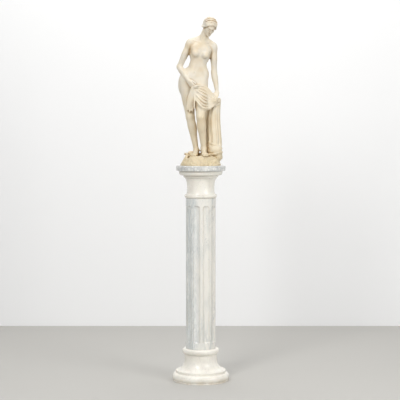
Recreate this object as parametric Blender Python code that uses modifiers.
"""A standing bather carved beside a draped tree stump, on a turned and fluted marble pedestal."""
import math

import bmesh
import bpy
import numpy as np
from mathutils import Matrix, Vector

# Pedestal, in metres. Heights are of each piece, and radii are its widest.
GAP = 0.0003
FOOT_HEIGHT = 0.170
FOOT_RADIUS = 0.148
FOOT_CONTACT_RADIUS = 0.144
FOOT_TORUS_HEIGHT = 0.043
FOOT_FILLET_RADIUS = 0.130
FOOT_FILLET_HEIGHT = 0.012
FOOT_NECK_RADIUS = 0.084
FOOT_NECK_HEIGHT = 0.022
FOOT_RING_RADIUS = 0.096
FOOT_RING_HEIGHT = 0.030
SHAFT_HEIGHT = 0.781
SHAFT_RADIUS = 0.078
FLUTES = 10
FLUTE_WIDTH = 0.032
FLUTE_DEPTH = 0.007
FLUTE_MARGIN_TOP = 0.032
FLUTE_MARGIN_BOTTOM = 0.026
FLUTE_TURN = math.radians(2.7)
CAPITAL_HEIGHT = 0.141
COLLAR_RADIUS = 0.0845
COLLAR_HEIGHT = 0.021
CAPITAL_NECK_RADIUS = 0.071
CAPITAL_STEP_RADIUS = 0.090
CAPITAL_STEP_HEIGHT = 0.010
OVOLO_LOW_RADIUS = 0.101
OVOLO_RADIUS = 0.113
OVOLO_HEIGHT = 0.023
SLAB_HEIGHT = 0.027
SLAB_RADIUS = 0.1277
SLAB_EDGE = 0.004
TURNING_STEPS = 32

# Statue, in metres, and then its figure, which is drawn in small steps with the top of the rock at GROUND.
STATUE_HEIGHT = 0.763
GRID_STEPS = 763
GROUND = 48.0
HEAD_SCALE = 0.89
CARVING_VOXEL = 5.0
CARVING_TRIANGLES = 5600

# Lumps of clay further apart than NEAR don't flow into each other.
# Space is worked through in blocks of BLOCK a side.
NEAR = 22.0
FAR = 1000.0
BLOCK = 36.0
ROCK_PLANES = 46

CREAM_MARBLE = (0.72, 0.63, 0.46)
WHITE_MARBLE = (0.79, 0.76, 0.70)
GREY_MARBLE = (0.62, 0.64, 0.62)


def new_collection(name):
    collection = bpy.data.collections.new(name)
    bpy.context.scene.collection.children.link(collection)
    return collection


def marble(name, color, roughness):
    material = bpy.data.materials.new(name)
    material.use_nodes = True
    shader = material.node_tree.nodes["Principled BSDF"]
    shader.inputs["Base Color"].default_value = (*color, 1.0)
    shader.inputs["Roughness"].default_value = roughness
    shader.inputs["Metallic"].default_value = 0.0
    return material


def arc(centre, radii, start, end, points):
    """Points (radius, height) along part of an ellipse, from one angle in degrees to another"""
    angles = np.radians(np.linspace(start, end, points))
    return [(centre[0] + radii[0] * math.cos(a), centre[1] + radii[1] * math.sin(a)) for a in angles]


def turned(name, profile, collection, material):
    """Turns a profile about Z. It runs from the top centre down the outer side to the bottom centre."""
    mesh = bpy.data.meshes.new(name)
    bm = bmesh.new()
    points = [bm.verts.new((radius, 0.0, height)) for radius, height in profile]
    for upper, lower in zip(points, points[1:]):
        bm.edges.new((upper, lower))
    bm.to_mesh(mesh)
    bm.free()
    piece = bpy.data.objects.new(name, mesh)
    collection.objects.link(piece)
    screw = piece.modifiers.new("turning", "SCREW")
    screw.axis = "Z"
    screw.steps = TURNING_STEPS
    screw.render_steps = TURNING_STEPS
    screw.use_merge_vertices = True
    screw.merge_threshold = 0.00001
    screw.use_smooth_shade = True
    mesh.materials.append(material)
    return piece


def make_foot(collection, material):
    top = FOOT_HEIGHT
    ring_low = top - FOOT_RING_HEIGHT
    neck_low = ring_low - FOOT_NECK_HEIGHT
    fillet_top = FOOT_TORUS_HEIGHT + FOOT_FILLET_HEIGHT
    ring_half = FOOT_RING_HEIGHT / 2
    ring_swell = FOOT_RING_RADIUS - FOOT_NECK_RADIUS
    torus_half = FOOT_TORUS_HEIGHT / 2
    profile = [(0.0, top)]
    profile += arc((FOOT_NECK_RADIUS, top - ring_half), (ring_swell, ring_half), 90, -90, 7)
    profile += [(FOOT_NECK_RADIUS, neck_low)]
    flare = (FOOT_FILLET_RADIUS - FOOT_NECK_RADIUS, neck_low - fillet_top)
    profile += arc((FOOT_FILLET_RADIUS, neck_low), flare, 180, 270, 7)[1:]
    profile += [(FOOT_FILLET_RADIUS, FOOT_TORUS_HEIGHT)]
    torus_swell = FOOT_RADIUS - FOOT_FILLET_RADIUS
    profile += arc((FOOT_FILLET_RADIUS, torus_half), (torus_swell, torus_half), 60, -30, 6)
    profile += [(FOOT_CONTACT_RADIUS, 0.0), (0.0, 0.0)]
    return turned("foot", profile, collection, material)


def make_capital(collection, material):
    top = CAPITAL_HEIGHT
    ovolo_low = top - OVOLO_HEIGHT
    step_low = ovolo_low - CAPITAL_STEP_HEIGHT
    collar_half = COLLAR_HEIGHT / 2
    collar_inner = CAPITAL_NECK_RADIUS + (COLLAR_RADIUS - CAPITAL_NECK_RADIUS) * 0.3
    swell = (OVOLO_RADIUS - OVOLO_LOW_RADIUS, OVOLO_HEIGHT * 0.75)
    profile = [(0.0, top), (OVOLO_RADIUS, top)]
    profile += arc((OVOLO_LOW_RADIUS, ovolo_low + swell[1]), swell, 0, -90, 5)
    profile += [(OVOLO_LOW_RADIUS, ovolo_low), (CAPITAL_STEP_RADIUS, ovolo_low)]
    profile += [(CAPITAL_STEP_RADIUS, step_low)]
    hollow = (CAPITAL_STEP_RADIUS - CAPITAL_NECK_RADIUS, (step_low - COLLAR_HEIGHT) * 0.62)
    profile += arc((CAPITAL_STEP_RADIUS, step_low - hollow[1]), hollow, 105, 180, 6)
    profile += [(CAPITAL_NECK_RADIUS, COLLAR_HEIGHT * 1.6), (collar_inner, COLLAR_HEIGHT)]
    profile += arc((collar_inner, collar_half), (COLLAR_RADIUS - collar_inner, collar_half), 60, -60, 5)
    profile += [(collar_inner, 0.0), (0.0, 0.0)]
    return turned("capital", profile, collection, material)


def make_slab(collection, material):
    profile = [(0.0, SLAB_HEIGHT), (SLAB_RADIUS - SLAB_EDGE, SLAB_HEIGHT)]
    profile += arc((SLAB_RADIUS - SLAB_EDGE, SLAB_HEIGHT - SLAB_EDGE), (SLAB_EDGE, SLAB_EDGE), 60, 0, 3)
    profile += arc((SLAB_RADIUS - SLAB_EDGE, SLAB_EDGE), (SLAB_EDGE, SLAB_EDGE), 0, -90, 3)
    profile += [(0.0, 0.0)]
    return turned("top_slab", profile, collection, material)


def flute_cutter(angle, collection):
    """A long round-ended rod that leaves a hollow of the flute's width and depth in the shaft"""
    chord = FLUTE_WIDTH / 2
    shaft_sag = SHAFT_RADIUS - math.sqrt(SHAFT_RADIUS**2 - chord**2)
    depth = FLUTE_DEPTH - shaft_sag
    radius = (chord**2 + depth**2) / (2 * depth)
    distance = SHAFT_RADIUS - FLUTE_DEPTH + radius
    bm = bmesh.new()
    bmesh.ops.create_uvsphere(bm, u_segments=20, v_segments=10, radius=radius)
    low = FLUTE_MARGIN_BOTTOM + chord
    high = SHAFT_HEIGHT - FLUTE_MARGIN_TOP - chord
    for vert in bm.verts:
        end = high if vert.co.z > 0 else low
        vert.co.z = end + vert.co.z * chord / radius
    place = Matrix.Rotation(angle, 4, "Z") @ Matrix.Translation((distance, 0.0, 0.0))
    bmesh.ops.transform(bm, matrix=place, verts=bm.verts)
    mesh = bpy.data.meshes.new("flute_cutter")
    bm.to_mesh(mesh)
    bm.free()
    cutter = bpy.data.objects.new("flute_cutter", mesh)
    collection.objects.link(cutter)
    cutter.hide_render = True
    cutter.display_type = "WIRE"
    return cutter


def make_shaft(collection, cutters, material):
    bm = bmesh.new()
    bmesh.ops.create_cone(bm, cap_ends=True, segments=FLUTES * 4, radius1=SHAFT_RADIUS, radius2=SHAFT_RADIUS,
                          depth=SHAFT_HEIGHT, matrix=Matrix.Translation((0, 0, SHAFT_HEIGHT / 2)))
    mesh = bpy.data.meshes.new("shaft")
    bm.to_mesh(mesh)
    bm.free()
    mesh.materials.append(material)
    shaft = bpy.data.objects.new("shaft", mesh)
    collection.objects.link(shaft)
    for number in range(FLUTES):
        angle = -math.pi / 2 + FLUTE_TURN + (number + 0.5) * math.tau / FLUTES
        cut = shaft.modifiers.new("flute", "BOOLEAN")
        cut.object = flute_cutter(angle, cutters)
        cut.operation = "DIFFERENCE"
    return shaft


def blend(a, b, softness):
    """The nearer of two distances, rounded where they are equal"""
    share = np.clip(0.5 + 0.5 * (b - a) / softness, 0, 1)
    return b + (a - b) * share - softness * share * (1 - share)


def rods_distance(points, path, radii, middle, spread):
    """Distance from the rods along a path, leaving out rods far from the block of space around middle"""
    if len(path) == 1:
        return np.linalg.norm(points - path[0], axis=1) - radii[0]
    start, line = path[:-1], path[1:] - path[:-1]
    reach = np.linalg.norm(line, axis=1) / 2 + radii.max() + spread
    near = np.linalg.norm(start + line / 2 - middle, axis=1) - reach < NEAR
    if not near.any():
        return np.full(len(points), FAR)
    start, line, radius, growth = start[near], line[near], radii[:-1][near], np.diff(radii)[near]
    from_start = points[:, None] - start
    along = np.clip(np.einsum("ijk,jk->ij", from_start, line) / np.maximum((line**2).sum(1), 1e-9), 0, 1)
    away = np.linalg.norm(from_start - along[..., None] * line, axis=2)
    return (away - radius - growth * along).min(axis=1)


class Clay:
    """A form built up from lumps that flow into each other, read as a distance from its skin.

    The skin is where the distance is nought, and the distance is below nought inside. Lumps and
    strokes are kept in named groups, and the lumps of one group blend over its own softness.
    """

    def __init__(self):
        self.lumps = {}
        self.strokes = {}
        self.bounds = {}

    def ball(self, group, centre, radii, axes=None):
        centre, radii = np.array(centre, float), np.array(radii, float)
        axes = np.eye(3) if axes is None else axes
        self.lumps.setdefault(group, []).append(("ball", centre, radii, axes, centre, radii.max()))

    def chain(self, group, points, radii):
        """A rod of changing radius along a path of straight pieces"""
        points, radii = np.array(points, float), np.array(radii, float)
        centre = (points.max(0) + points.min(0)) / 2
        reach = (np.linalg.norm(points - centre, axis=1) + radii).max()
        self.lumps.setdefault(group, []).append(("chain", points, radii, None, centre, reach))

    def stroke(self, group, path, width, depth):
        """A groove along a path, or a ridge where depth is below nought"""
        path = np.array(path, float)
        centre = (path.max(0) + path.min(0)) / 2
        reach = np.linalg.norm(path - centre, axis=1).max() + 2.6 * width - NEAR
        self.strokes.setdefault(group, []).append((path, width, depth, centre, reach))

    def near(self, table, name, middle, spread):
        """The entries of a group that come near a block of space"""
        entries = table.get(name, [])
        key = (id(table), name, len(entries))
        if key not in self.bounds:
            self.bounds[key] = np.array([(*entry[-2], entry[-1]) for entry in entries]).reshape(-1, 4)
        bounds = self.bounds[key]
        gap = np.linalg.norm(bounds[:, :3] - middle, axis=1) - bounds[:, 3] - spread
        return [entries[number] for number in np.flatnonzero(gap < NEAR)]

    def group(self, name, points, softness):
        total = np.full(len(points), FAR)
        middle = points.mean(0)
        spread = np.linalg.norm(points - middle, axis=1).max()
        for kind, first, second, axes, _, _ in self.near(self.lumps, name, middle, spread):
            if kind == "ball":
                local = (points - first) @ axes
                scaled = np.linalg.norm(local / second, axis=1)
                slope = np.linalg.norm(local / second**2, axis=1)
                distance = scaled * (scaled - 1) / np.maximum(slope, 1e-6)
            else:
                distance = rods_distance(points, first, second, middle, spread)
            total = blend(total, distance, softness)
        for path, width, depth, _, _ in self.near(self.strokes, name, middle, spread):
            away = rods_distance(points, path, np.zeros(len(path)), middle, spread)
            total = total + depth * np.exp(-((away / width) ** 2))
        return total


def by_blocks(measure, points):
    """Runs a measure on the points of one small block of space at a time, where few lumps are near"""
    cells = np.floor(points / BLOCK).astype(np.int64)
    keys = (cells[:, 0] * 4096 + cells[:, 1]) * 4096 + cells[:, 2]
    order = np.argsort(keys, kind="stable")
    breaks = np.flatnonzero(np.diff(keys[order])) + 1
    result = np.empty(len(points))
    for block in np.split(order, breaks):
        result[block] = measure(points[block])
    return result


def through(points, count):
    """A smooth curve of count points through a few points"""
    points = np.array(points, float)
    padded = np.vstack([2 * points[0] - points[1], points, 2 * points[-1] - points[-2]])
    curve = []
    for place in np.linspace(0, len(points) - 1, count):
        piece = min(int(place), len(points) - 2)
        t = place - piece
        a, b, c, d = padded[piece:piece + 4]
        curve.append(b + 0.5 * t * (c - a + t * (2 * a - 5 * b + 4 * c - d + t * (3 * b - a - 3 * c + d))))
    return np.array(curve)


def stretched(values, count):
    """A few values stretched evenly over count places"""
    return np.interp(np.linspace(0, 1, count), np.linspace(0, 1, len(values)), values)


clay = Clay()


def place_of(origin, turn=0.0, lean=0.0, bow=0.0):
    """A place with axes: x to the figure's left side, y to its back, z up. Angles are in degrees."""
    turn, lean, bow = (math.radians(angle) for angle in (turn, lean, bow))
    axes = Matrix.Rotation(turn, 3, "Z") @ Matrix.Rotation(lean, 3, "Y") @ Matrix.Rotation(bow, 3, "X")
    return np.array(origin, float), np.array(axes)


def at(place, *local):
    return place[0] + place[1] @ np.array(local, float)


def limb_axes(along, front):
    """Axes with z along a limb and -y to its front"""
    z = np.array(along, float) / np.linalg.norm(along)
    y = -np.array(front, float)
    y = y - z * (y @ z)
    y /= np.linalg.norm(y)
    return np.stack([np.cross(y, z), y, z], axis=1)


UP = np.array([0.0, 0.0, 1.0])
PELVIS = place_of((-38, 6, 438), turn=-4, lean=9)
CHEST = place_of((-3, 4, 574), turn=4, lean=9)
HEAD = place_of((45, -15, 710), turn=24, lean=9, bow=37)
HIPS = {"r": at(PELVIS, -37, 0, -4), "l": at(PELVIS, 38, -2, -8)}
KNEES = {"r": np.array([-54.0, -8, 250]), "l": np.array([0.0, -56, 248])}
ANKLES = {"r": np.array([-23.0, 16, 78]), "l": np.array([15.0, -8, 88])}
SHOULDERS = {"r": at(CHEST, -60, 6, 50), "l": at(CHEST, 62, 6, 50)}
ELBOWS = {"r": np.array([-110.0, 22, 508]), "l": np.array([69.0, 24, 483])}
WRISTS = {"r": np.array([-62.0, -44, 434]), "l": np.array([84.0, 4, 376])}


def model_trunk():
    chest, pelvis = CHEST[1], PELVIS[1]
    clay.ball("trunk", at(CHEST, 0, 4, -4), (52, 37, 60), chest)
    clay.ball("trunk", at(CHEST, 0, 8, 44), (57, 27, 22), chest)
    clay.ball("trunk", (-68, 6, 468), (28, 26, 38), place_of((0, 0, 0), lean=14)[1])
    clay.ball("trunk", (16, 6, 470), (26, 26, 40), place_of((0, 0, 0), lean=-6)[1])
    clay.ball("trunk", (-17, 4, 506), (46, 31, 50), place_of((0, 0, 0), lean=9)[1])
    clay.ball("trunk", at(PELVIS, 0, 4, 6), (58, 38, 44), pelvis)
    clay.ball("trunk", at(PELVIS, 0, -15, 26), (38, 22, 42), pelvis)
    clay.ball("trunk", at(PELVIS, 0, -18, -16), (33, 20, 30), pelvis)
    for side in (-1, 1):
        clay.ball("trunk", at(CHEST, side * 26, -16, 20), (27, 17, 24), chest)
        clay.ball("trunk", at(CHEST, side * 27, 26, 2), (25, 16, 40), chest)
        clay.ball("trunk", at(CHEST, side * 31, 33, 26), (20, 8, 24), chest)
        clay.chain("trunk", [at(CHEST, side * 8, 14, 72), at(CHEST, side * 50, 10, 60)], [15, 13])
        clay.ball("trunk", at(PELVIS, side * 48, 3, -30), (24, 30, 44), pelvis)
        clay.ball("trunk", at(PELVIS, side * 28, 28, -24), (31, 28, 34), pelvis)
        clay.ball("breast", at(CHEST, side * 26, -30, -3), (19, 15, 18), chest)
        clay.ball("breast", at(CHEST, side * 27, -34, -8), (13.5, 11, 11.5), chest)
        clay.stroke("trunk", [at(CHEST, side * 6, -24, 58), at(CHEST, side * 46, -8, 62)], 4.0, -2.2)
        clay.stroke("trunk", [at(CHEST, side * 12, -22, 68), at(CHEST, side * 38, -6, 72)], 5.0, 2.5)
        groin = [(44, -30, 2), (22, -36, -20), (6, -38, -34)]
        clay.stroke("trunk", [at(PELVIS, side * x, y, z) for x, y, z in groin], 5, 3)
        clay.stroke("trunk", [at(PELVIS, side * 16, 44, 22)], 4, 2.5)
    clay.stroke("trunk", [at(PELVIS, 1, -38, 37), at(PELVIS, 1, -38, 32)], 3.4, 5)
    clay.stroke("trunk", [at(CHEST, 3, -14, 76)], 6, 4)
    clay.stroke("trunk", [at(PELVIS, 1, -38, 52), (-14, -30, 520), at(CHEST, 0, -34, -22)], 7, 2.5)
    clay.stroke("trunk", [at(CHEST, 0, 40, 44), (-16, 36, 510), at(PELVIS, 0, 42, 24)], 8, 5)
    clay.stroke("trunk", [at(PELVIS, 0, 58, -8), at(PELVIS, 0, 56, -42)], 6, 8)


def model_leg(name, outer):
    hip, knee, ankle = HIPS[name], KNEES[name], ANKLES[name]
    thigh, shin = knee - hip, ankle - knee
    front = np.array([-0.1 * outer, -1.0, 0.05])
    side = np.array([float(outer), 0.0, 0.0])
    group = "leg_" + name
    thigh_axes, shin_axes = limb_axes(thigh, front), limb_axes(shin, front)
    ahead = -thigh_axes[:, 1]
    points = [hip + thigh * 0.02, hip + thigh * 0.3 - ahead * 2, hip + thigh * 0.62, knee + ahead]
    clay.chain(group, points, [38, 37, 31, 22])
    clay.ball(group, hip + thigh * 0.42 + ahead * 9, (28, 28, 66), thigh_axes)
    clay.ball(group, hip + thigh * 0.5 - ahead * 10 - side * 3, (27, 24, 60), thigh_axes)
    clay.ball(group, knee + ahead * 10, (14, 11, 17), thigh_axes)
    clay.chain(group, [knee, knee + shin * 0.3, knee + shin * 0.68, ankle], [22, 22, 16.5, 12.5])
    for across, drop, radius in ((1, 0.25, 14), (-1, 0.29, 15)):
        calf = knee + shin * drop - front * -10 + side * across * 7
        clay.ball(group, calf, (radius, radius + 1, 40), shin_axes)
    clay.chain(group, [knee + front * 6 + shin * 0.12, ankle + front * 3], [11, 8])
    for across, drop in ((1, 1.02), (-1, 0.985)):
        clay.ball(group, knee + shin * drop + side * across * 8.5, (5.5, 7, 7.5), shin_axes)


def model_foot(name, heel, tread, tip, inner):
    """A bare foot, with heel, tread (the ball of the foot) and tip on the ground

    The big toe is on the side that inner points to.
    """
    heel, tread, tip, inner = (np.array(point, float) for point in (heel, tread, tip, inner))
    group, ankle, run = "leg_" + name, ANKLES[name], tread - heel
    clay.ball(group, heel + UP * 9 + run * 0.03, (12.5, 15, 13), limb_axes(UP, -run))
    instep = ankle * 0.35 + tread * 0.65 + UP * 7 + inner * 2
    clay.chain(group, [ankle + run * 0.02, instep, tread + UP * 6.5 + inner * 5], [13, 11, 8.5])
    clay.chain(group, [heel + UP * 8 - inner * 3, tread + UP * 4.5 - inner * 9], [10, 7])
    arch = heel + run * 0.5 + UP * 14 + inner * 4
    clay.chain(group, [heel + UP * 9 + inner * 3, arch, tread + UP * 7 + inner * 8], [10, 9, 8])
    clay.chain(group, [tread + UP * 6.5 + inner * 9, tread + UP * 5.5 - inner * 11], [8, 6.5])
    for toe, (length, radius) in enumerate(((1.0, 5.6), (0.98, 4.1), (0.88, 3.9), (0.76, 3.7), (0.6, 3.5))):
        root = tread + inner * (10.5 - 5.6 * toe) + UP * 5
        end = root + (tip - tread) * length + inner * (-1.0 + 0.2 * toe) - UP * 0.8
        middle = root + (end - root) * 0.55 + UP * 2.2
        clay.chain("toes", [root, middle, end], [radius * 1.02, radius * 0.92, radius])


def model_arm(name, front):
    shoulder, elbow, wrist = SHOULDERS[name], ELBOWS[name], WRISTS[name]
    upper, fore = elbow - shoulder, wrist - elbow
    upper_axes, fore_axes = limb_axes(upper, front), limb_axes(fore, front)
    group = "arm_" + name
    clay.ball(group, shoulder + upper * 0.08, (18.5, 19, 25), upper_axes)
    clay.chain(group, [shoulder, shoulder + upper * 0.5, elbow], [17, 15.5, 12.5])
    clay.ball(group, shoulder + upper * 0.5 - upper_axes[:, 1] * 4, (12.5, 12.5, 34), upper_axes)
    clay.ball(group, shoulder + upper * 0.48 + upper_axes[:, 1] * 5, (12.5, 12.5, 38), upper_axes)
    clay.chain(group, [elbow, elbow + fore * 0.28, elbow + fore * 0.7, wrist], [13, 14.2, 10.5, 8.2])
    clay.ball(group, elbow + fore * 0.25 + fore_axes[:, 0] * 3, (11.5, 13.5, 30), fore_axes)


def model_hand(name, along, palm, thumb_side, bends, thumb):
    """A hand from its wrist: along to the knuckles, palm the way it faces, and how far each finger bends"""
    wrist = WRISTS[name]
    ahead = np.array(along, float) / np.linalg.norm(along)
    inward = np.array(palm, float) - ahead * (ahead @ np.array(palm, float))
    inward /= np.linalg.norm(inward)
    across = np.cross(ahead, inward)
    across *= 1 if across @ np.array(thumb_side, float) > 0 else -1
    axes = np.stack([across, inward, ahead], axis=1)
    group = "hand_" + name
    clay.ball(group, wrist + ahead * 3, (11, 8, 12), axes)
    clay.ball(group, wrist + ahead * 15 + across * 8 + inward * 3.5, (7, 7, 13), axes)
    fingers = ((9, 32, 31, 4.6), (3, 34, 34, 4.7), (-3, 33, 32, 4.5), (-9, 29, 25, 4.0))
    for (offset, reach, length, radius), bend in zip(fingers, bends):
        knuckle = wrist + ahead * reach + across * offset
        clay.chain(group, [wrist + ahead * 5 + across * offset * 0.6, knuckle - ahead], [7.2, 5.4])
        path, angle = [knuckle], 0.0
        for joint, share in enumerate((0.44, 0.31, 0.25)):
            angle += math.radians(bend * (0.9, 1.2, 0.9)[joint])
            way = ahead * math.cos(angle) + inward * math.sin(angle) + across * offset * 0.012
            path.append(path[-1] + way * length * share)
        clay.chain("fingers_" + name, path, [radius, radius * 0.93, radius * 0.86, radius * 0.74])
    joints = [wrist + ahead * 9 + across * 10 + inward * 3]
    joints += [wrist + ahead * x + across * y + inward * z for x, y, z in thumb]
    clay.chain(group, joints[:2], [7, 5.6])
    clay.chain("fingers_" + name, joints[1:], [5.4, 4.9, 4.0])
    return wrist + ahead * 32


def on_head(*local):
    return at(HEAD, *(HEAD_SCALE * value for value in local))


def head_ball(group, local, radii):
    clay.ball(group, on_head(*local), np.array(radii) * HEAD_SCALE, HEAD[1])


def head_chain(group, points, radii):
    clay.chain(group, [on_head(*point) for point in points], [radius * HEAD_SCALE for radius in radii])


def head_stroke(group, points, width, depth):
    clay.stroke(group, [on_head(*point) for point in points], width * HEAD_SCALE, depth * HEAD_SCALE)


def model_head():
    head_ball("head", (0, 6, 14), (30, 38, 32))
    head_ball("head", (0, -11, -8), (25, 26, 31))
    head_ball("head", (0, -13, -25), (19, 20.5, 17))
    head_ball("head", (0, -31, -38.5), (8, 7, 6.5))
    for side in (-1, 1):
        head_ball("head", (side * 15.5, -23.5, -10), (9.5, 9, 10))
        head_chain("head", [(side * 17, -3, -20), (side * 14, -16, -31), (side * 5, -29, -38)], [7, 6.5, 6])
        head_chain("head", [(side * 3, -34.5, 7), (side * 17, -30.5, 8)], [3.6, 3.2])
        head_stroke("head", [(side * 8.5, -37, -0.5), (side * 16, -34.8, -0.5)], 4.6, 4.4)
        head_ball("features", (side * 12.6, -27.4, -0.4), (7.1, 7.2, 6.2))
        inner, outer = (side * 7.0, -34.0, -1.4), (side * 19.2, -30.8, -1.2)
        upper_lid = [inner, (side * 10.5, -35.7, 1.0), (side * 15, -35.2, 1.4), outer]
        lower_lid = [inner, (side * 11, -34.8, -3.6), (side * 15.5, -34.2, -3.4), outer]
        head_chain("features", upper_lid, [0.9, 1.4, 1.4, 0.9])
        head_chain("features", lower_lid, [0.8, 1.1, 1.1, 0.8])
        head_ball("features", (side * 4.2, -39.6, -15.8), (2.8, 3.6, 2.8))
        head_stroke("features", [(side * 2.3, -42, -18.6)], 1.2, 1.3)
        upper_lip = [(0, -38.8, -24.5), (side * 3, -38.6, -24.1), (side * 7.3, -35.8, -25.9)]
        lower_lip = [(0, -38.2, -28.7), (side * 3.3, -37.7, -28.5), (side * 6.8, -35.6, -27)]
        head_chain("features", upper_lip, [1.9, 2.0, 0.9])
        head_chain("features", lower_lip, [2.4, 2.2, 0.9])
    head_stroke("features", [(-7.2, -36.4, -26.4), (0, -40.4, -26.3), (7.2, -36.4, -26.4)], 1.1, 1.2)
    head_stroke("head", [(-3, -37.5, -33), (3, -37.5, -33)], 3.0, 1.8)
    head_chain("features", [(0, -36, 5), (0, -38.4, -3), (0, -43.8, -13.6)], [2.9, 2.6, 3.6])
    clay.chain("neck", [on_head(0, 14, -14), at(CHEST, 4, 9, 80), at(CHEST, 0, 12, 58)], [20, 19, 25])
    for side in (-1, 1):
        clay.chain("neck", [on_head(side * 22, 10, -16), at(CHEST, side * 6, -11, 76)], [6.5, 4.5])


LOCKS = 10
CAP_CENTRE = np.array([0.0, 8.0, 15.0])
CAP_RADII = np.array([37.0, 41.0, 36.0])
LOCK_POINTS = 26
FRONT_LOCK = ((1, -29, 31), (14, -28, 27), (28, -19, 14), (38, -7, -1),
              (43, 8, -13), (34, 27, -22), (14, 42, -21))
BACK_LOCK = ((1, 42, 34), (10, 44, 30), (18, 45, 22), (20, 47, 12),
             (17, 50, 3), (12, 52, -3), (6, 53, -7))


def model_hair():
    head_ball("hair", CAP_CENTRE, CAP_RADII - 3)
    for side in (-1, 1):
        head_ball("hair", (side * 27, 15, -5), (13, 18, 18))
        for lock in range(LOCKS):
            share = lock / (LOCKS - 1)
            guide = np.array(FRONT_LOCK) * (1 - share) + np.array(BACK_LOCK) * share
            path = through(guide, LOCK_POINTS)
            out = (path - CAP_CENTRE) / CAP_RADII
            size = np.linalg.norm(out, axis=1)[:, None]
            path = CAP_CENTRE + (path - CAP_CENTRE) * np.maximum(1, 1 / size)
            wave = 1.05 * np.arange(LOCK_POINTS)[:, None] + 0.6 * lock
            path += 1.3 * np.sin(wave) * out / size + np.cos(wave) * np.array([0, 1.1, 1.1])
            radii = stretched((3.4, 4.6, 4.8 - share, 4.4, 3.6), LOCK_POINTS)
            head_chain("hair", path * np.array([side, 1, 1]), radii)
    head_ball("hair", (0, 50, -8), (14, 12, 13))
    for turn in range(3):
        wide, back = 12 - 3.4 * turn, 50 + 5 * turn
        angles = np.linspace(1.1 * turn, 1.1 * turn + math.tau, 17)
        ring = [(wide * math.cos(a), back + 1.5 * math.sin(2 * a), -8 + wide * math.sin(a)) for a in angles]
        head_chain("hair", ring, [5.0 - 0.8 * turn] * 17)
    for back in (-9, 6):
        angles = np.radians(range(-112, 113, 8))
        wide, tall = (CAP_RADII[[0, 2]] + 4.4) * math.sqrt(1 - ((back - CAP_CENTRE[1]) / CAP_RADII[1]) ** 2)
        band = [(wide * math.sin(a), back, CAP_CENTRE[2] + tall * math.cos(a)) for a in angles]
        head_chain("band", band, [2.6] * len(band))


def stump_middle(height):
    """The stump leans a little in and out again"""
    return 73 - 7 * math.sin(math.pi * min(1, (338 - height) / 200) * 0.9)


def model_stump():
    clay.chain("stump", [(73, 12, 322), (66, 13, 220), (69, 13, 130), (76, 11, 44)], [22, 22, 26, 33])
    for turn in range(5):
        angle = math.radians(20 + 72 * turn)
        root = (76 + 30 * math.cos(angle), 10 + 30 * math.sin(angle), GROUND - 8)
        clay.chain("stump", [(74 + 10 * math.cos(angle), 11 + 9 * math.sin(angle), 104), root], [18, 9])
    clay.chain("stump", [(62, 26, 236), (48, 46, 254)], [9, 7])
    clay.chain("stump", [(52, 4, 176), (40, -4, 186)], [8, 6])
    for groove in range(22):
        angle = groove * math.tau / 22
        path = []
        for step in range(12):
            height = 332 - 25 * step
            wide = 22 + 11 * (step / 11) ** 2
            lean = angle + 0.12 * math.sin(1.7 * step + 2.1 * groove)
            path.append((stump_middle(height) + wide * math.cos(lean), 12.5 + wide * math.sin(lean), height))
        clay.stroke("stump", path, 1.9, 2.6)


def model_rock():
    for level, (radius_x, radius_y, height) in enumerate(((100, 84, 12), (94, 78, 26), (84, 70, 38))):
        for step in range(16):
            angle = step * math.tau / 16 + 0.2 * level
            rough = 1 + 0.05 * math.sin(3 * angle + level) + 0.04 * math.sin(7 * angle + 2 * level)
            x, y = 0.9 * rough * radius_x * math.cos(angle), 0.9 * rough * radius_y * math.sin(angle)
            clay.ball("rock", (x, y, height), (17, 17, 13))
    clay.ball("rock", (0, 0, 6), (104, 88, 44))
    clay.ball("rock", (-50, 32, 46), (42, 36, 28))
    clay.ball("rock", (-74, 6, 36), (28, 34, 26))
    clay.ball("rock", (26, 44, 44), (48, 32, 26))
    clay.ball("rock", (8, -44, 32), (50, 34, 17))


def rock_planes():
    """Planes that cut the sides of the mound, as (direction, share of the mound's width)"""
    rng = np.random.default_rng(11)
    planes = []
    while len(planes) < ROCK_PLANES:
        direction = rng.normal(size=3)
        direction /= np.linalg.norm(direction)
        if -0.1 < direction[2] < 0.6:
            planes.append((direction, rng.uniform(0.91, 0.98)))
    return planes


CUT_PLANES = rock_planes()


def rough_rock(points):
    rock = clay.group("rock", points, 9)
    if rock.min() > NEAR:
        return rock
    for direction, share in CUT_PLANES:
        support = share * np.linalg.norm(direction * np.array([112, 96, 58]))
        rock = -blend(-rock, support - points @ direction, 1.5)
    return rock


def body_distance(points):
    """The bare body: each limb blends softly into the trunk"""
    legs = blend(clay.group("leg_r", points, 9), clay.group("leg_l", points, 9), 3)
    legs = blend(legs, clay.group("toes", points, 1.0), 2.5)
    skin = blend(clay.group("trunk", points, 13), legs, 16)
    skin = blend(skin, clay.group("breast", points, 7), 9)
    face = blend(clay.group("head", points, 7), clay.group("features", points, 1.6), 1.8)
    skin = blend(skin, blend(face, clay.group("neck", points, 6), 7), 12)
    for name in "rl":
        arm = blend(clay.group("arm_" + name, points, 8), clay.group("hand_" + name, points, 3), 7)
        skin = blend(skin, blend(arm, clay.group("fingers_" + name, points, 0.8), 1.6), 9)
    return skin


def laid_on_skin(path, proud):
    """Moves each point of a path along Y to stand proud of the body's front, no further back than it was"""
    steps = np.arange(-120.0, 60.0, 1.5)
    lines = np.repeat(np.array(path, float)[:, None], len(steps), axis=1)
    lines[:, :, 1] = steps
    distances = by_blocks(body_distance, lines.reshape(-1, 3)).reshape(len(path), -1)
    laid = np.array(path, float)
    for point, distance, rise in zip(laid, distances, np.broadcast_to(proud, len(path))):
        inside = np.flatnonzero(distance < rise)
        if len(inside) and steps[inside[0]] < point[1]:
            point[1] = steps[inside[0]]
    return laid


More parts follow.
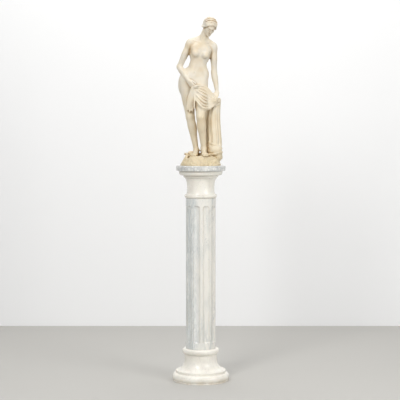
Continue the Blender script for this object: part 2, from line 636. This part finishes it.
SWAG_POINTS = 19
EDGE = ((-36, -52, 402), (-10, -46, 409), (22, -42, 404), (48, -36, 380), (66, -26, 358), (76, -14, 344))
HEM = ((-42, -54, 388), (-26, -54, 334), (4, -50, 292), (36, -44, 288), (62, -34, 304), (80, -18, 322))


def swag(share):
    """The line of one swag, from the right hand across the thighs to the stump: share 0 is the upper edge"""
    return through(np.array(EDGE) * (1 - share) + np.array(HEM) * share, SWAG_POINTS)


FOLDS = ((0.0, 0.0, 1.0, 5.0), (0.13, 0.0, 0.75, 4.2), (0.26, 0.18, 1.0, 4.6), (0.40, 0.0, 0.9, 5.0),
         (0.53, 0.3, 1.0, 4.2), (0.66, 0.0, 1.0, 5.2), (0.80, 0.12, 0.85, 4.4), (0.93, 0.0, 1.0, 5.4))


def model_lap_cloth():
    """The swags, as a thin sheet with proud folds that rise and die out along them"""
    for sheet in np.linspace(0, 1, 15):
        clay.chain("cloth", laid_on_skin(swag(sheet), 0.5), [4.2] * SWAG_POINTS)
    for share, start, end, radius in FOLDS:
        along = np.linspace(0, 1, SWAG_POINTS)
        rise = np.sin(math.pi * np.clip((along - start + 0.12) / (end - start + 0.24), 0, 1)) ** 0.6
        path = laid_on_skin(swag(share), 1 + 4.6 * rise)
        clay.chain("cloth", path, 2.5 + (radius - 2.5) * rise)


def model_held_cloth():
    """The end that hangs from the right hand, whose pleats are waves across a sheet of close rods"""
    clay.ball("cloth", (-41, -54, 398), (8, 7, 9))
    for rod in range(25):
        across = rod / 24
        wave = 3.5 * math.tau * across + 0.7 * math.sin(5 * across)
        top = np.array([-48 + 13 * across, -56, 397])
        low = np.array([-74 + 42 * across, -40, 296 - 14 * math.sin(math.pi * across) + 8 * math.cos(wave)])
        belly = top * 0.5 + low * 0.5 + np.array([-3 + 5 * across, -3, 0])
        ease = np.linspace(0, 1, 9)
        path = laid_on_skin(through([top, belly, low], 9), 3 + 5.6 * ease**0.4 * (1 + math.sin(wave)))
        clay.chain("cloth", path, stretched((2.2, 2.7, 3.0, 2.6), 9))


def model_stump_cloth():
    """The fall over the stump, a ring of close rods in waves that deepen towards the hem"""
    for rod in range(46):
        across = rod / 45
        angle = math.radians(-208 + 236 * across)
        wave = 8.5 * math.tau * across + 0.9 * math.sin(9 * across)
        low = 104 + 12 * math.sin(7 * across + 1) + 7 * math.cos(wave)
        path = []
        for step, height in enumerate(np.linspace(338, low, 10)):
            fold = 1 + math.sin(wave + 0.12 * step * math.sin(rod))
            wide = 26 + step / 3 + (1.0 + 0.29 * step) * fold
            lean = angle + 0.05 * math.sin(0.9 * step + 6 * across)
            path.append((stump_middle(height) + wide * math.cos(lean), 12 + wide * math.sin(lean), height))
        clay.chain("cloth", path, stretched((3.4, 3.4, 3.6, 3.2), 10))
    clay.ball("cloth", (76, 8, 332), (27, 26, 10))
    for path in (((50, -12, 340), (66, -24, 322), (92, -16, 330)),
                 ((48, -6, 330), (64, -22, 306), (96, -10, 318)),
                 ((56, -14, 350), (74, -18, 340), (98, -4, 344))):
        clay.chain("cloth", through(path, 9), stretched((3.5, 5, 5.5, 3.5), 9))


def model_heap_cloth():
    """Where the cloth meets the rock it lies in a heap of slanting folds"""
    clay.ball("cloth", (74, -6, 80), (33, 27, 30))
    for rod in range(17):
        down = rod / 16
        path = []
        for step in range(13):
            across = step / 12
            angle = math.radians(-196 + 190 * across)
            height = 112 - 58 * down + (9 - 5 * down) * math.sin(2.2 * math.pi * across + 2.5 * down)
            fold = 1 + math.sin(3.4 * math.tau * down + 3.2 * across)
            wide = 28 + 6 * down + (3.8 - 1.2 * abs(2 * across - 1)) * fold
            path.append((73 + wide * math.cos(angle), 8 + 0.94 * wide * math.sin(angle), height))
        clay.chain("cloth", path, [3.3] * 13)


def model_leaves():
    tufts = (((46, -37, 50), 6, 0.4, 12), ((-74, 0, 50), 7, 1.0, 14), ((2, 30, 70), 5, 2.0, 13))
    for centre, count, turn, length in tufts:
        for leaf in range(count):
            angle = turn + leaf * math.tau / count
            out = np.array([math.cos(angle), math.sin(angle), 0.25 + 0.5 * (leaf % 2)])
            out /= np.linalg.norm(out)
            middle = np.array(centre, float) + out * length * 0.55
            axes = limb_axes(out, (0, 0, 1))
            clay.ball("leaves", middle, (length * 0.42, 2.6, length * 0.62), axes)
            above = middle - axes[:, 1] * 2
            clay.stroke("leaves", [above - out * length * 0.4, above + out * length * 0.4], 1.2, 1.2)


def model_figure():
    model_trunk()
    model_leg("r", -1)
    model_leg("l", 1)
    model_foot("r", (-20, 34, GROUND), (-35, -31, GROUND), (-40, -58, GROUND), (1, -0.2, 0))
    model_foot("l", (14, 12, GROUND + 18), (22, -44, GROUND + 1), (26, -69, GROUND), (-1, -0.1, 0))
    model_arm("r", (-0.3, -1, 0.2))
    model_arm("l", (0.2, -1, 0))
    model_hand("r", (26, -14, -36), (0.55, 0.75, 0.1), (0.7, -0.2, 0.7), (38, 42, 42, 42),
               ((22, 17, 4), (34, 18, 8), (42, 14, 12)))
    model_hand("l", (-8, -24, -20), (-0.05, 0.6, -0.85), (-1, 0, 0), (16, 20, 22, 22),
               ((22, 19, 2), (33, 23, 5), (41, 23, 9)))
    model_head()
    model_hair()
    model_stump()
    model_rock()
    model_lap_cloth()
    model_held_cloth()
    model_stump_cloth()
    model_heap_cloth()
    model_leaves()


def figure_distance(points):
    """The whole carving, in which cloth, hair and rock keep their edges against the skin"""
    skin = blend(body_distance(points), clay.group("hair", points, 3), 1.5)
    skin = blend(skin, clay.group("band", points, 1), 1)
    ground = blend(clay.group("stump", points, 8), rough_rock(points), 6)
    ground = blend(ground, clay.group("leaves", points, 1), 1.5)
    return blend(blend(skin, ground, 2), clay.group("cloth", points, 3.5), 1.5)


def heap_of_lumps():
    """Every lump as a stretched sphere, all in one mesh"""
    heap, lump_mesh = bmesh.new(), bpy.data.meshes.new("lump")
    for kind, first, second, axes, _, _ in (lump for group in clay.lumps.values() for lump in group):
        if kind == "ball":
            rods = [(first, first, second, second, axes)]
        else:
            rods = [(start, end, low, high, np.array(Vector(end - start).to_track_quat("Z", "Y").to_matrix()))
                    for start, end, low, high in zip(first, first[1:], second, second[1:])]
        for start, end, low, high, axes_of_rod in rods:
            bm = bmesh.new()
            bmesh.ops.create_uvsphere(bm, u_segments=12, v_segments=8, radius=1.0)
            for vert in bm.verts:
                upper = vert.co.z > 0.001
                local = np.array(vert.co) * (high if upper else low)
                vert.co = Vector((end if upper else start) + axes_of_rod @ local)
            bm.to_mesh(lump_mesh)
            bm.free()
            heap.from_mesh(lump_mesh)
    mesh = bpy.data.meshes.new("heap")
    heap.to_mesh(mesh)
    heap.free()
    bpy.data.meshes.remove(lump_mesh)
    return mesh


def relax(positions, edges):
    """Evens out a skin by moving each corner half way to the middle of its neighbours"""
    count = np.bincount(edges.ravel(), minlength=len(positions)).astype(float)
    total = np.zeros_like(positions)
    for axis in range(3):
        total[:, axis] += np.bincount(edges[:, 0], positions[edges[:, 1], axis], len(positions))
        total[:, axis] += np.bincount(edges[:, 1], positions[edges[:, 0], axis], len(positions))
    return positions + 0.5 * (total / count[:, None] - positions)


def settle(mesh, rounds, relaxed, limit):
    """Moves each corner along its normal to where the clay's skin is"""
    positions, normals = np.zeros(len(mesh.vertices) * 3), np.zeros(len(mesh.vertices) * 3)
    edges = np.zeros(len(mesh.edges) * 2, np.int32)
    mesh.edges.foreach_get("vertices", edges)
    edges = edges.reshape(-1, 2)
    for number in range(rounds):
        mesh.vertices.foreach_get("co", positions)
        mesh.vertices.foreach_get("normal", normals)
        moved = positions.reshape(-1, 3)
        step = np.clip(by_blocks(figure_distance, moved), -limit, limit)
        moved = moved - normals.reshape(-1, 3) * step[:, None]
        if number < relaxed:
            moved = relax(moved, edges)
        mesh.vertices.foreach_set("co", moved.ravel())
        mesh.update()


def one_skin(holder, voxel):
    """Replaces the mesh of holder by one closed skin over all that it holds"""
    remesh = holder.modifiers.new("skin", "REMESH")
    remesh.mode = "VOXEL"
    remesh.voxel_size = voxel
    evaluated = holder.evaluated_get(bpy.context.evaluated_depsgraph_get())
    skin = bpy.data.meshes.new_from_object(evaluated)
    holder.modifiers.clear()
    old, holder.data = holder.data, skin
    bpy.data.meshes.remove(old)
    return skin


def make_statue(collection, material):
    model_figure()
    statue = bpy.data.objects.new("statue", heap_of_lumps())
    collection.objects.link(statue)
    settle(one_skin(statue, CARVING_VOXEL), 7, 7, CARVING_VOXEL)
    carved = one_skin(statue, CARVING_VOXEL * 0.8)
    settle(carved, 4, 3, CARVING_VOXEL)
    bm = bmesh.new()
    bm.from_mesh(carved)
    everything = list(bm.verts) + list(bm.edges) + list(bm.faces)
    cut = bmesh.ops.bisect_plane(bm, geom=everything, plane_co=(0, 0, 0), plane_no=(0, 0, -1),
                                 clear_outer=True)
    rim = [edge for edge in cut["geom_cut"] if isinstance(edge, bmesh.types.BMEdge)]
    bmesh.ops.holes_fill(bm, edges=rim, sides=0)
    bmesh.ops.scale(bm, vec=Vector((1, 1, 1)) * STATUE_HEIGHT / GRID_STEPS, verts=bm.verts)
    bmesh.ops.triangulate(bm, faces=bm.faces)
    triangles = len(bm.faces)
    bm.to_mesh(carved)
    bm.free()
    carved.name = "statue"
    carved.materials.append(material)
    thin = statue.modifiers.new("plain carving", "DECIMATE")
    thin.ratio = CARVING_TRIANGLES / triangles
    return statue


def make_part():
    for item in list(bpy.data.objects):
        bpy.data.objects.remove(item)
    parts = new_collection("bather_on_pedestal")
    cutters = new_collection("cutters")
    foot = make_foot(parts, marble("white foot marble", WHITE_MARBLE, 0.35))
    shaft = make_shaft(parts, cutters, marble("grey veined marble", GREY_MARBLE, 0.3))
    capital = make_capital(parts, marble("white capital marble", WHITE_MARBLE, 0.35))
    slab = make_slab(parts, marble("mottled grey marble", GREY_MARBLE, 0.25))
    statue = make_statue(parts, marble("cream marble", CREAM_MARBLE, 0.45))
    height = 0.0
    for piece, piece_height in ((foot, FOOT_HEIGHT), (shaft, SHAFT_HEIGHT), (capital, CAPITAL_HEIGHT),
                                (slab, SLAB_HEIGHT), (statue, STATUE_HEIGHT)):
        piece.location.z = height
        height += piece_height + GAP
    for cutter in cutters.objects:
        cutter.parent = shaft


make_part()
